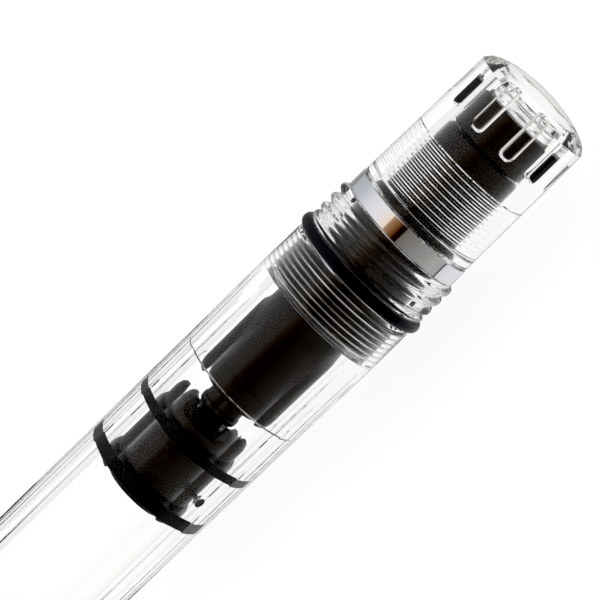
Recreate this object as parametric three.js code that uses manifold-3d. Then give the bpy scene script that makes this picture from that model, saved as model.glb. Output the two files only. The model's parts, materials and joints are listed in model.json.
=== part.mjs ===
// Clear piston-filling fountain pen, capped, lying along X.
// Origin: centre of the flat crown face. +X runs along the pen to the filler knob, +Z points to
// the clip. Units are millimetres. "Front" is towards -X, where the nib and crown are.
// Every profile is a table of [station along X, radius].
import * as THREE from "three";
import { mergeVertices } from "three/addons/utils/BufferGeometryUtils.js";
import Module from "manifold-3d";

const wasm = await Module();
wasm.setup();

// ---------------------------------------------------------------- driving dimensions
const TAU = Math.PI * 2;
const degrees = THREE.MathUtils.degToRad;

const BARREL_FRONT = 40; // front end of the barrel, datum of the threads there
const SEAT = 91.5; // station of the posting O-ring; the filler is drawn from here
const BARREL_R = 6.25;
const BORE_R = 4.42; // honed ink chamber
const CAP_MOUTH = 48; // open end of the cap
const NIB_TIP = 8; // end of the tines
const CLEAR = 0.06; // play in the barrel and knob threads and at the rod's flats

const FACETS = 13; // flats round the barrel
const FACET_AT = degrees(7.68); // first edge between flats, from +Z towards +Y
const FLAT_R = 6.068; // axis to a barrel flat
const FLATS_FRONT = 54; // the flats keep full depth from here
const FLATS_REAR = SEAT - 13; // to here

// Thread forms: half-widths of the rib, as fractions of the pitch
const VEE = { foot: 0.36, tip: 0.1 };
const BLUNT = { foot: 0.34, tip: 0.15 };
const CHORDS = 12; // chords in one turn of a thread

// cap and posting thread, one size at both ends of the pen
const CAP_T = { pitch: 1.12, starts: 2, root: 5.75, crest: 6.2, form: BLUNT };
const CAP_CLEAR = 0.09; // play in the cap thread
// fixed threads: grip into barrel, then filler into barrel
const BODY_T = { pitch: 0.5, starts: 1, root: 4.68, crest: 4.97, form: VEE };
const TAIL_T = { pitch: 0.5, starts: 1, root: 5.42, crest: 5.64, form: VEE };
// knob on its neck
const KNOB_T = { pitch: 0.5, starts: 1, root: 3.82, crest: 4.06, form: VEE };
// piston rod in the spindle nut, steep
const ROD_T = { lead: 6, starts: 2, root: 1.5, crest: 1.95, width: 1.7 };
const ROD_FLAT = 1.36; // axis to a flat of the piston rod

// ribs in the knob that drive the slotted hub of the spindle
const SPLINES = 8;
const SPLINE_AT = Math.PI / SPLINES; // angle of the first, half a space off +Z
const SPLINE_WIDTH = 0.82;

// ---------------------------------------------------------------- geometry helpers
// Welds a geometry into a manifold solid, turning it right side out if need be.
function toSolid(geometry) {
  const loose = geometry.index ? geometry.toNonIndexed() : geometry.clone();
  for (const name of Object.keys(loose.attributes)) {
    if (name !== "position") loose.deleteAttribute(name);
  }
  const welded = mergeVertices(loose, 1e-4);
  const index = welded.index.array;
  const triangles = [];
  for (let i = 0; i < index.length; i += 3) {
    const [a, b, c] = [index[i], index[i + 1], index[i + 2]];
    if (a !== b && b !== c && a !== c) triangles.push(a, b, c);
  }
  const make = () =>
    new wasm.Manifold(
      new wasm.Mesh({
        numProp: 3,
        vertProperties: new Float32Array(welded.attributes.position.array),
        triVerts: new Uint32Array(triangles),
      }),
    );
  const solid = make();
  if (solid.volume() > 0) return solid;
  for (let i = 0; i < triangles.length; i += 3) {
    [triangles[i + 1], triangles[i + 2]] = [triangles[i + 2], triangles[i + 1]];
  }
  return make();
}

function toGeometry(solid) {
  const mesh = solid.getMesh();
  const geometry = new THREE.BufferGeometry();
  const positions = new Float32Array(mesh.vertProperties);
  geometry.setAttribute("position", new THREE.BufferAttribute(positions, 3));
  geometry.setIndex(new THREE.BufferAttribute(new Uint32Array(mesh.triVerts), 1));
  geometry.computeVertexNormals();
  return geometry;
}

// A profile turned about X. One that does not start and end on the axis closes on itself.
function lathe(profile, segments) {
  const points = profile.map(([x, r]) => new THREE.Vector2(r, x));
  const onAxis = profile[0][1] === 0 && profile.at(-1)[1] === 0;
  if (!onAxis) points.push(points[0].clone());
  return new THREE.LatheGeometry(points, segments).rotateZ(-Math.PI / 2);
}

// The turned profile as a solid; twist turns its facets about X.
const turned = (profile, segments, twist = 0) =>
  toSolid(lathe(profile, segments).rotateX(twist));

const ring = (x0, x1, inner, outer, segments) =>
  turned([[x0, inner], [x1, inner], [x1, outer], [x0, outer]], segments);

function oring({ x, radius, section, around, across, twist = 0 }) {
  const torus = new THREE.TorusGeometry(radius, section, across, around);
  return toSolid(torus.rotateY(Math.PI / 2).translate(x, 0, 0).rotateX(twist));
}

// A box from its ranges along X, Y and Z.
function box([x0, x1], [y0, y1], [z0, z1]) {
  const block = new THREE.BoxGeometry(x1 - x0, y1 - y0, z1 - z0);
  return toSolid(block.translate((x0 + x1) / 2, (y0 + y1) / 2, (z0 + z1) / 2));
}

const extrude = (shape, depth, curveSegments) =>
  new THREE.ExtrudeGeometry(shape, { depth, bevelEnabled: false, curveSegments });

const union = (solids) => solids.reduce((sum, solid) => sum.add(solid));

// Equal blocks about X; the first stands centred at (x, 0, z), turned by `first` towards -Y.
const blocksAround = ({ count, first, size, x, z }) =>
  union(
    Array.from({ length: count }, (_, i) => {
      const block = new THREE.BoxGeometry(...size).translate(x, 0, z);
      return toSolid(block.rotateX((i / count) * TAU + first));
    }),
  );

// A straight extrusion of a [station, radius] section, wound round X between two chord counts.
function rib(section, lead, firstChord, lastChord) {
  const chords = lastChord - firstChord;
  const shape = new THREE.Shape(section.map(([x, r]) => new THREE.Vector2(x, r)));
  const geometry = new THREE.ExtrudeGeometry(shape, {
    depth: chords,
    steps: chords,
    bevelEnabled: false,
  });
  const position = geometry.attributes.position;
  for (let i = 0; i < position.count; i++) {
    const turns = (firstChord + position.getZ(i)) / CHORDS;
    const x = position.getX(i) + lead * turns;
    const r = position.getY(i);
    position.setXYZ(i, x, r * Math.cos(turns * TAU), r * Math.sin(turns * TAU));
  }
  return toSolid(geometry);
}

// All starts of a helix between two stations, each a rib wide at the foot and narrow at the tip.
// Ribs that share a datum share their phase, so male and female wind together.
function helix({ lead, starts }, datum, from, to, { footR, footHalf, tipR, tipHalf }) {
  const ribs = Array.from({ length: starts }, (_, start) => {
    const at = datum + (start * lead) / starts;
    const chordAt = (x) => Math.round(((x - at) / lead) * CHORDS);
    const section = [
      [at - footHalf, footR],
      [at + footHalf, footR],
      [at + tipHalf, tipR],
      [at - tipHalf, tipR],
    ];
    return rib(section, lead, chordAt(from), chordAt(to));
  });
  return union(ribs);
}

// A screw thread; grow > 0 makes the cutter for the mating thread, its chords clear of the crest.
function threads({ pitch, starts, root, crest, form }, datum, from, to, grow = 0) {
  const sink = grow ? 0.25 : 0.12; // foot buried below the root
  return helix({ lead: pitch * starts, starts }, datum, from, to, {
    footR: root - sink,
    footHalf: pitch * form.foot + grow * 0.9,
    tipR: grow ? (crest + grow) / Math.cos(Math.PI / CHORDS) : crest,
    tipHalf: pitch * form.tip + grow * 0.7,
  });
}

// ---------------------------------------------------------------- materials
const material = (look) => new THREE.MeshStandardMaterial(look);
const clear = material({
  color: 0xf4f6f8,
  roughness: 0.05,
  metalness: 0,
  transparent: true,
  opacity: 0.3,
});
const black = material({ color: 0x141416, roughness: 0.32, metalness: 0 });
const rubber = material({ color: 0x0b0b0d, roughness: 0.6, metalness: 0 });
const chrome = material({ color: 0xd8dadd, roughness: 0.06, metalness: 1 });
const steel = material({ color: 0xc4c6c9, roughness: 0.16, metalness: 1 });
const milky = material({ color: 0xe9ebe8, roughness: 0.35, metalness: 0 });

// ================================================================ barrel
// Axis to flat: each flat runs out in a shallow curve before the round ends.
function flatRadiusAt(x) {
  const front = THREE.MathUtils.clamp((FLATS_FRONT - x) / 4, 0, 1);
  const rear = THREE.MathUtils.clamp((x - FLATS_REAR) / 8, 0, 1);
  return FLAT_R + 0.42 * front * front + 0.2 * rear * rear;
}

function barrelBlank() {
  const profile = [
    [BARREL_FRONT, 0], [BARREL_FRONT, 5.5], [40.3, CAP_T.root], [45.9, CAP_T.root],
    [46.0, 6.1], [46.2, 6.3], [48.6, 6.34], [50.0, 6.32], [52.0, 6.26],
    [FLATS_FRONT, BARREL_R], [FLATS_REAR, BARREL_R],
    [SEAT - 9.0, BARREL_R], [SEAT - 7.0, BARREL_R], [SEAT - 5.0, BARREL_R],
    [SEAT - 0.78, 6.22], [SEAT - 0.58, 6.16], [SEAT - 0.58, 0],
  ];
  // three segments a flat: an edge and two lines inside it
  const blank = lathe(profile, FACETS * 3).rotateX(-FACET_AT);
  const position = blank.attributes.position;
  const step = TAU / FACETS;
  for (let i = 0; i < position.count; i++) {
    const y = position.getY(i);
    const z = position.getZ(i);
    const r = Math.hypot(y, z);
    const flat = flatRadiusAt(position.getX(i));
    if (r <= flat) continue;
    const angle = Math.atan2(y, z) - FACET_AT;
    const fromMiddle = angle - Math.floor(angle / step) * step - step / 2;
    const wanted = Math.min(r, flat / Math.cos(fromMiddle));
    position.setY(i, (y * wanted) / r);
    position.setZ(i, (z * wanted) / r);
  }
  return toSolid(blank);
}

function barrel() {
  const bore = [
    [39, 0], [39, 4.75], [45.0, 4.75], [45.0, 4.98], [46.0, 4.98], [46.0, BORE_R],
    [SEAT - 14.0, BORE_R], [SEAT - 14.0, 4.55], [SEAT - 4.95, 4.55],
    [SEAT - 4.95, 5.48], [SEAT + 1, 5.48], [SEAT + 1, 0],
  ];
  return barrelBlank()
    .subtract(turned(bore, 24))
    .add(threads(CAP_T, BARREL_FRONT, 40.75, 44.2))
    .subtract(threads(BODY_T, BARREL_FRONT, 41.6, 43.6, CLEAR))
    .subtract(threads(TAIL_T, SEAT, SEAT - 3.85, SEAT - 0.9, CLEAR));
}

// ================================================================ grip section and writing end
function gripSection() {
  const profile = [
    [25.5, 3.3], [41.5, 3.3], [41.5, 2.3], [44.9, 2.3], [44.9, 4.4],
    [44.7, BODY_T.root], [39.25, BODY_T.root], [39.25, 5.62], [38.9, 5.66],
    [35.5, 5.12], [31.0, 4.72], [28.0, 4.86], [26.4, 5.02], [25.7, 4.9], [25.5, 4.65],
  ];
  return turned(profile, 24).add(threads(BODY_T, BARREL_FRONT, 41.9, 43.3));
}

const gripRing = () => ring(39.31, 39.93, 4.78, 5.68, 32);

const gripOring = () =>
  oring({ x: 45.45, radius: 4.55, section: 0.36, around: 20, across: 6 });

function nibCollar() {
  const profile = [
    [26.0, 2.78], [38.6, 2.78], [38.6, 1.9], [41.3, 1.9], [41.3, 3.15], [26.2, 3.2],
    [26.0, 3.1],
  ];
  return turned(profile, 28);
}

// Feed: a post in the collar, a flat-topped comb under the nib.
function feed() {
  const profile = [
    [10.4, 0], [10.4, 0.55], [13.0, 1.35], [16.0, 1.95], [19.0, 2.42], [38.3, 2.42],
    [38.3, 1.6], [42.6, 1.6], [43.0, 1.2], [43.0, 0],
  ];
  const slots = { count: 6, first: 14.4, pitch: 1.6, width: 0.5 };
  const flatTop = box([9.0, 25.0], [-4, 4], [1.3, 5]);
  const channel = box([9.0, 43.4], [-0.22, 0.22], [0.9, 5]);
  let comb = turned(profile, 20).subtract(flatTop).subtract(channel);
  for (let i = 0; i < slots.count; i++) {
    const x = slots.first + i * slots.pitch;
    const end = x + slots.width;
    const core = box([x - 0.1, end + 0.1], [-0.75, 0.75], [-1.0, 1.0]);
    comb = comb.subtract(box([x, end], [-4, 4], [-4, 0.75]).subtract(core));
  }
  return comb;
}

// Plan of the nib in X and Y, blunt at the tip.
function nibOutline() {
  const front = NIB_TIP + 0.35;
  const outline = new THREE.Shape();
  outline.moveTo(34.0, -2.6);
  outline.lineTo(34.0, 2.6);
  outline.lineTo(22.5, 2.66);
  outline.quadraticCurveTo(18.2, 2.62, 14.6, 1.7);
  outline.quadraticCurveTo(10.6, 0.85, front, 0.32);
  outline.lineTo(front, -0.32);
  outline.quadraticCurveTo(10.6, -0.85, 14.6, -1.7);
  outline.quadraticCurveTo(18.2, -2.62, 22.5, -2.66);
  outline.closePath();
  return outline;
}

// Upper half of a thin tube; the tines dip, sheared down in -Z as the square of the distance.
function nibSheet() {
  const bendFrom = 19;
  const dip = 0.0035;
  const half = ring(6, 35, 2.48, 2.72, 24).intersect(box([5, 36], [-4, 4], [-0.1, 4]));
  const sheet = toGeometry(half.refine(2));
  const position = sheet.attributes.position;
  for (let i = 0; i < position.count; i++) {
    const ahead = Math.max(0, bendFrom - position.getX(i));
    position.setZ(i, position.getZ(i) - dip * ahead * ahead);
  }
  return toSolid(sheet);
}

// Nib: a rolled sheet trimmed to its outline, with breather hole and slit.
function nib() {
  const holeX = 18.2;
  const hole = new THREE.CylinderGeometry(0.5, 0.5, 6, 12);
  hole.rotateX(Math.PI / 2).translate(holeX, 0, 3);
  const slit = box([NIB_TIP - 1, holeX], [-0.04, 0.04], [-1, 6]);
  // the slit would part the tips: a web at the tip keeps the tines one piece
  const web = box([NIB_TIP + 0.36, NIB_TIP + 0.9], [-0.12, 0.12], [1.93, 2.17]);
  const cut = nibSheet()
    .intersect(toSolid(extrude(nibOutline(), 6, 7)))
    .subtract(toSolid(hole))
    .subtract(slit)
    .add(web);
  // keep only the largest piece, should the cuts leave slivers
  return cut.decompose().sort((a, b) => b.volume() - a.volume())[0];
}

const nibTipping = () =>
  toSolid(new THREE.SphereGeometry(0.3, 10, 8).translate(NIB_TIP, 0, 2.02));

// ================================================================ filler, stations from SEAT
// Clear sleeve on the drive housing: O-ring seat and posting thread.
function tailSleeve() {
  const profile = [
    [-0.45, 4.42], [4.47, 4.42], [4.47, CAP_T.root], [1.35, CAP_T.root], [1.2, 6.1],
    [0.68, 6.16], [0.6, 6.0], [0.6, 5.42], [-0.45, 5.42],
  ];
  return turned(profile, 24).add(threads(CAP_T, 0.3, 1.65, 4.0));
}

function postingOring() {
  const around = 28;
  const twist = Math.PI / around; // half a segment
  return oring({ x: 0.02, radius: 6.04, section: 0.53, around, across: 8, twist });
}

const spigotGasket = () => ring(-4.85, -4.25, 3.85, 5.1, 28);

function trimRing() {
  const profile = [
    [4.55, 4.44], [6.2, 4.44], [6.2, 5.7], [6.1, 5.8], [4.65, 5.8], [4.55, 5.7],
  ];
  return turned(profile, 36);
}

// Black housing: screws into the barrel, carries the sleeve, the trim ring and the knob thread.
function driveHousing() {
  const profile = [
    [-12.6, 2.78], [14.2, 2.78], [14.2, 3.62], [14.0, KNOB_T.root], [7.0, KNOB_T.root],
    [6.85, 4.36], [-0.5, 4.36], [-0.5, TAIL_T.root], [-4.1, TAIL_T.root],
    [-4.2, 5.25], [-4.2, 3.75], [-12.6, 3.75],
  ];
  return turned(profile, 24)
    .add(threads(TAIL_T, 0, -3.45, -1.3))
    .add(threads(KNOB_T, 0, 8.15, 11.15));
}

// Bush in the mouth of the housing: the flats of its keyhole stop the rod turning.
function guideBush() {
  const profile = [
    [-14.7, 0], [-14.7, 3.1], [-14.45, 3.55], [-14.1, 3.75], [-12.66, 3.75],
    [-12.66, 2.7], [-11.9, 2.7], [-11.9, 0],
  ];
  const flat = ROD_FLAT + CLEAR;
  const round = turned([[-16, 0], [-16, 2.06], [-11, 2.06], [-11, 0]], 24);
  const keyhole = round.intersect(box([-17, -10], [-3, 3], [-flat, flat]));
  return turned(profile, 28).subtract(keyhole);
}

function knobShell() {
  const body = [
    [6.28, 0], [6.28, 5.66], [6.4, 5.74], [19.4, 5.58], [19.85, 5.2], [20.4, 4.2],
    [20.85, 2.4], [21.0, 0],
  ];
  const hollow = [
    [5, 0], [5, 4.5], [7.15, 4.5], [7.25, 3.92], [12.6, 3.92], [19.2, 3.8], [19.2, 0],
  ];
  const splines = blocksAround({
    count: SPLINES,
    first: SPLINE_AT,
    size: [4.2, SPLINE_WIDTH, 0.8],
    x: 17.25,
    z: 3.62,
  });
  return turned(body, 36)
    .subtract(turned(hollow, 24))
    .subtract(threads(KNOB_T, 0, 6.9, 11.6, CLEAR))
    .add(splines);
}

// Spindle: splined hub at the rear and the long nut tube.
function spindle() {
  const profile = [
    [-11.6, 1.62], [-7.0, 1.62], [-6.8, 2.12], [16.9, 2.12], [16.9, 0.9], [17.9, 0.9],
    [17.9, 3.5], [17.75, 3.65], [14.4, 3.65], [14.4, 2.66], [-11.4, 2.66], [-11.6, 2.5],
  ];
  const splineSlots = blocksAround({
    count: SPLINES,
    first: SPLINE_AT,
    size: [3.1, SPLINE_WIDTH + 0.2, 1.2],
    x: 16.6,
    z: 3.74,
  });
  const half = ROD_T.width / 2 + 0.14; // rod rib with its play
  const nutGrooves = helix(ROD_T, 0, -12.8, -6.0, {
    footR: 1.3,
    footHalf: half + 0.05,
    tipR: 2.08,
    tipHalf: half - 0.15,
  });
  return turned(profile, 24).subtract(splineSlots).subtract(nutGrooves);
}

const thrustWasher = () => ring(18.02, 18.9, 1.1, 3.05, 24);

// Piston rod: twin helical ribs between two flats, mushroom head in the piston.
function pistonRod() {
  const profile = [
    [-18.4, 0], [-18.4, 1.5], [-18.1, 1.75], [-17.55, 1.75], [-17.4, 1.15],
    [-16.65, 1.15], [-16.55, 2.0], [-16.3, 2.12], [-15.95, 2.1], [-15.8, 1.92],
    [-14.9, 1.9], [-14.8, ROD_T.root], [12.2, ROD_T.root], [12.5, 1.2], [12.5, 0],
  ];
  const ribs = helix(ROD_T, 0, -14.2, 11.2, {
    footR: 1.2,
    footHalf: ROD_T.width / 2,
    tipR: ROD_T.crest,
    tipHalf: ROD_T.width / 2 - 0.2,
  });
  const flatted = box([-14.9, 17], [-3, 3], [-ROD_FLAT, ROD_FLAT]);
  const round = box([-20, -14.78], [-3, 3], [-3, 3]);
  return turned(profile, 16).add(ribs).intersect(flatted.add(round));
}

// Small round pip standing out between the seal lands.
function pistonPip() {
  const angle = degrees(19); // from -Y towards -Z
  const radius = 3.86;
  const pip = new THREE.CylinderGeometry(0.38, 0.38, 1.0, 12).rotateX(angle);
  pip.translate(-22.33, -radius * Math.cos(angle), -radius * Math.sin(angle));
  return toSolid(pip);
}

// Piston head: domed nose, two seal lands, slotted rear cup that snaps over the rod's head.
function pistonHead() {
  const profile = [
    [-26.1, 0], [-25.98, 1.5], [-25.7, 2.7], [-25.55, 3.1], [-24.05, 3.1],
    [-24.05, 3.7], [-19.86, 3.7], [-19.86, 3.2], [-18.74, 3.2], [-18.74, 3.7],
    [-17.45, 3.7], [-16.95, 3.4], [-16.7, 2.9], [-16.7, 2.3], [-17.3, 2.05],
    [-19.4, 2.05], [-19.4, 0],
  ];
  // three wide windows leave three claws
  const windows = blocksAround({
    count: 3,
    first: degrees(49.5),
    size: [1.5, 4.0, 3.2],
    x: -17.15,
    z: 3.3,
  });
  return turned(profile, 28).subtract(windows).add(pistonPip());
}

function pistonSealFront() {
  const profile = [
    [-25.5, 3.18], [-24.12, 3.18], [-24.12, 4.1], [-24.3, 4.36], [-25.4, 4.36],
    [-25.55, 4.1],
  ];
  return turned(profile, 28);
}

function pistonSealRear() {
  const profile = [
    [-19.8, 3.28], [-18.85, 3.28], [-18.8, 4.1], [-18.95, 4.36], [-19.7, 4.36],
    [-19.85, 4.1],
  ];
  return turned(profile, 28);
}

// ================================================================ cap
function capShell() {
  const profile = [
    [CAP_MOUTH, 6.52], [44.9, 6.52], [44.75, 5.92], [39.8, 5.92], [39.6, 5.98],
    [6.3, 5.4], [6.3, 2.45], [5.2, 2.45], [5.2, 5.1], [5.6, 5.75], [6.6, 6.0],
    [43.7, 7.12], [43.7, 6.86], [CAP_MOUTH, 6.86],
  ];
  const thread = threads(CAP_T, BARREL_FRONT, 40.3, 45.1, CAP_CLEAR);
  return turned(profile, 36).subtract(thread);
}

// Band round the mouth, with a shallow groove.
function capBand() {
  const segments = 32;
  const outer = 7.3;
  const profile = [
    [43.78, 6.92], [CAP_MOUTH - 0.02, 6.92], [CAP_MOUTH - 0.02, 7.2],
    [CAP_MOUTH - 0.14, outer], [46.1, outer], [45.95, 7.2], [45.7, 7.2],
    [45.55, outer], [43.95, outer], [43.78, 7.16],
  ];
  return turned(profile, segments, Math.PI / segments);
}

function capLiner() {
  const profile = [
    [6.36, 0], [6.36, 5.1], [6.6, 5.25], [26.2, 5.6], [26.6, 5.5], [26.6, 5.2],
    [24.3, 5.2], [24.3, 4.6], [7.4, 4.35], [7.0, 4.1], [7.0, 0],
  ];
  return turned(profile, 28);
}

const linerSeal = () => ring(24.36, 25.2, 4.0, 5.1, 28);

function crownFinial() {
  const profile = [
    [0.3, 3.08], [0.3, 4.2], [0.6, 4.6], [2.9, 5.1], [3.2, 5.0], [3.2, 2.3],
    [6.28, 2.3], [6.28, 0], [1.1, 0], [1.1, 3.08],
  ];
  return turned(profile, 32);
}

const crownJewel = () =>
  turned([[1.04, 0], [1.04, 3.0], [0.2, 3.0], [0.0, 2.75], [0.0, 0]], 32);

const crownOring = () =>
  oring({ x: 4.72, radius: 3.6, section: 0.36, around: 20, across: 6 });

// Ring in the crown with the root tab of the clip.
function clipCollar() {
  const halfWidth = [-1.5, 1.5];
  return ring(3.3, 4.3, 2.42, 5.15, 32)
    .add(box([3.3, 4.3], halfWidth, [4.6, 6.6]))
    .add(box([3.3, 4.9], halfWidth, [6.1, 7.0]));
}

// Side view of the sprung arm in X and Z.
function clipSide() {
  const side = new THREE.Shape();
  side.moveTo(5.05, 6.2);
  side.lineTo(5.05, 7.1);
  side.quadraticCurveTo(5.4, 8.3, 7.0, 8.45);
  side.lineTo(33.6, 9.0);
  side.quadraticCurveTo(36.0, 9.0, 37.0, 9.6);
  side.lineTo(37.25, 9.2);
  side.quadraticCurveTo(36.0, 7.2, 34.6, 6.98);
  side.quadraticCurveTo(33.4, 7.2, 32.2, 8.1);
  side.lineTo(8.0, 7.6);
  side.quadraticCurveTo(6.4, 7.5, 6.2, 6.3);
  side.closePath();
  return side;
}

// Plan of the arm in X and Y: it narrows a little to the tip.
function clipPlan(halfWidth) {
  const plan = new THREE.Shape();
  plan.moveTo(4.0, -1.5);
  plan.lineTo(4.0, 1.5);
  plan.lineTo(7.5, halfWidth);
  plan.lineTo(35.2, 1.15);
  plan.quadraticCurveTo(37.6, 1.1, 37.6, 0);
  plan.quadraticCurveTo(37.6, -1.1, 35.2, -1.15);
  plan.lineTo(7.5, -halfWidth);
  plan.closePath();
  return plan;
}

function clipArm() {
  const halfWidth = 1.6;
  const side = extrude(clipSide(), 2 * halfWidth, 4);
  side.rotateX(Math.PI / 2).translate(0, halfWidth, 0);
  const plan = extrude(clipPlan(halfWidth), 8, 4).translate(0, 0, 4);
  return toSolid(side).intersect(toSolid(plan));
}

// ================================================================ assembly
const pen = new THREE.Group();
const front = new THREE.Group();
const filler = new THREE.Group();
const cap = new THREE.Group();
filler.position.x = SEAT;
pen.add(front, filler, cap);

function put(group, name, solid, look) {
  const mesh = new THREE.Mesh(toGeometry(solid), look);
  mesh.name = name;
  group.add(mesh);
}

put(front, "barrel", barrel(), clear);
put(front, "grip_section", gripSection(), clear);
put(front, "grip_ring", gripRing(), chrome);
put(front, "grip_oring", gripOring(), rubber);
put(front, "nib_collar", nibCollar(), black);
put(front, "feed", feed(), black);
put(front, "nib", nib(), steel);
put(front, "nib_tipping", nibTipping(), steel);

put(filler, "tail_sleeve", tailSleeve(), clear);
put(filler, "posting_oring", postingOring(), rubber);
put(filler, "spigot_gasket", spigotGasket(), milky);
put(filler, "trim_ring", trimRing(), chrome);
put(filler, "drive_housing", driveHousing(), black);
put(filler, "guide_bush", guideBush(), black);
put(filler, "knob_shell", knobShell(), clear);
put(filler, "spindle", spindle(), black);
put(filler, "thrust_washer", thrustWasher(), milky);
put(filler, "piston_rod", pistonRod(), black);
put(filler, "piston_head", pistonHead(), black);
put(filler, "piston_seal_front", pistonSealFront(), rubber);
put(filler, "piston_seal_rear", pistonSealRear(), rubber);

put(cap, "cap_shell", capShell(), clear);
put(cap, "cap_band", capBand(), chrome);
put(cap, "cap_liner", capLiner(), clear);
put(cap, "liner_seal", linerSeal(), rubber);
put(cap, "crown_finial", crownFinial(), chrome);
put(cap, "crown_jewel", crownJewel(), black);
put(cap, "crown_oring", crownOring(), rubber);
put(cap, "clip_collar", clipCollar(), chrome);
put(cap, "clip_arm", clipArm(), chrome);

export default pen;
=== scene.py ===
# Clear piston-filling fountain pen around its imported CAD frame.
# The pen lies along X: the cap crown is at x = 0 and +X runs to the filler knob.
# "Front" is the -X side, where the nib points. Profiles are in mm, the scene in metres.
import json
import math
import bpy
import numpy as np
from mathutils import Vector, Matrix


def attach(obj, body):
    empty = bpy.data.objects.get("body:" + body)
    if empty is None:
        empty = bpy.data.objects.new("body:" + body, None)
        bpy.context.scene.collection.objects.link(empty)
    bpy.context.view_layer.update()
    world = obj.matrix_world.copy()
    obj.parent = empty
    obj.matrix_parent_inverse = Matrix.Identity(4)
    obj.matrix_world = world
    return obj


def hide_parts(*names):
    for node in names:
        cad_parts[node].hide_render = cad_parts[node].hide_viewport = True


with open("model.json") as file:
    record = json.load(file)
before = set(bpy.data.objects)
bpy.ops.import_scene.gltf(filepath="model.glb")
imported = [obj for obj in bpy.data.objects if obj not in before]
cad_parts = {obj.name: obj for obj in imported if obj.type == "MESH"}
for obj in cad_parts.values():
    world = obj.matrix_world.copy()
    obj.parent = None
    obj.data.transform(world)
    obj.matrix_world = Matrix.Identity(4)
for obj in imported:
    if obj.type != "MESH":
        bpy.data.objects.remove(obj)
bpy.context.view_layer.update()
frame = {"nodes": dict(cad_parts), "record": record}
scene = bpy.context.scene

MM = 0.001
TAU = 2 * math.pi
WELD = 2e-4                      # grid on which vertices are merged, mm
ARC_STEP = math.radians(15)      # largest turn of one segment of a rounded corner

# ------------------------------------------------------------------ driving sizes, mm
BARREL_FRONT = 40.0
SEAT = 91.5                      # station of the posting O-ring
BORE_R = 4.42                    # barrel bore
SEAL_R = 4.432                   # piston seals and pip, pressed just into the bore wall

CAP_THREAD = dict(pitch=1.12, starts=2)
CAP_ROOT, CAP_CREST = 5.80, 6.22
BODY_THREAD = dict(pitch=0.5, starts=1)
TAIL_THREAD = dict(pitch=0.5, starts=1)
KNOB_THREAD = dict(pitch=0.5, starts=1)
ROD_THREAD = dict(pitch=3.0, starts=2)

# Half of each symmetric thread form, from its foot to its middle:
# (distance from the middle in pitches, share of the height)
HALF_FORMS = {
    "vee": [(0.42, 0), (0.30, 0.30), (0.12, 0.86), (0.05, 1.0)],
    "groove": [(0.46, 0), (0.34, 0.30), (0.15, 0.86), (0.06, 1.0)],
    "round": [(0.38, 0), (0.335, 0.08), (0.29, 0.28), (0.24, 0.6), (0.18, 0.86),
              (0.11, 0.97), (0, 1.0)],
    "slot": [(0.46, 0), (0.40, 0.2), (0.34, 0.6), (0.26, 0.9), (0.16, 1.0)],
    "wave": [(0.5, 0), (0.45, 0.03), (0.39, 0.14), (0.33, 0.34), (0.27, 0.57),
             (0.20, 0.80), (0.12, 0.95), (0.04, 1.0)],
    "notch": [(0.18, 0), (0.11, 0.55), (0.04, 1.0)],
    "fine": [(0.12, 0), (0.07, 0.6), (0.02, 1.0)],
    "trapeze": [(0.33, 0), (0.17, 1.0)],
    "rib": [(0.30, 0), (0.29, 0.5), (0.25, 1.0)],
}
FORMS = {name: [(-o, h) for o, h in half] + [(o, h) for o, h in half[::-1] if o > 0]
         for name, half in HALF_FORMS.items()}


# ------------------------------------------------------------------ profiles
# A profile is a list of (x, r), (x, r, corner radius) and thread zones.
def thread(kind, x0, x1, datum, base, height, form="vee", margin=None, fade=None,
           reverse=False):
    """A helical zone from x0 to x1 on a wall of radius base; a positive height is outward.

    reverse is set where the profile runs towards -X. Turns die away over fade, starting
    margin away from the zone's ends (half a thread form by default).
    """
    if fade is None:
        fade = kind["pitch"] * kind["starts"] * 0.04
    return dict(kind, x0=x0, x1=x1, datum=datum, base=base, height=height, form=form,
                margin=margin, fade=fade, reverse=reverse)


def shifted(point, origin):
    """Moves a profile point or thread zone along X."""
    if isinstance(point, dict):
        return dict(point, **{key: origin + point[key] for key in ("x0", "x1", "datum")})
    return (origin + point[0], *point[1:])


def turn_from(start, angle):
    """The signed turn from start to angle, within half a circle."""
    return (angle - start + math.pi) % TAU - math.pi


def neighbour(point, x):
    """Position of a profile point; for a thread zone, of its end nearer to x."""
    if isinstance(point, dict):
        end = min((point["x0"], point["x1"]), key=lambda station: abs(station - x))
        return np.array((end, point["base"]), float)
    return np.array(point[:2], float)


def fillet(points):
    """Rounds the corners of a profile that carry a radius."""
    out = []
    for i, point in enumerate(points):
        if isinstance(point, dict):
            out.append(point)
            continue
        if len(point) < 3 or not point[2]:
            out.append(point[:2])
            continue
        corner = np.array(point[:2], float)
        back = neighbour(points[i - 1], point[0]) - corner
        ahead = neighbour(points[(i + 1) % len(points)], point[0]) - corner
        back_length, ahead_length = np.linalg.norm(back), np.linalg.norm(ahead)
        back, ahead = back / back_length, ahead / ahead_length
        angle = math.acos(max(-1, min(1, float(back @ ahead))))
        if angle > math.pi - 0.02:      # nearly straight
            out.append(point[:2])
            continue
        reach = min(point[2] / math.tan(angle / 2), back_length * 0.48, ahead_length * 0.48)
        radius = reach * math.tan(angle / 2)
        bisector = back + ahead
        bisector /= np.linalg.norm(bisector)
        centre = corner + bisector * (radius / math.sin(angle / 2))
        start, end = corner + back * reach, corner + ahead * reach
        start_angle = math.atan2(*(start - centre)[::-1])
        sweep = turn_from(start_angle, math.atan2(*(end - centre)[::-1]))
        count = max(2, int(math.ceil(abs(sweep) / ARC_STEP)))
        for step in range(count + 1):
            w = start_angle + sweep * step / count
            out.append((centre[0] + radius * math.cos(w), centre[1] + radius * math.sin(w)))
    return out


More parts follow.
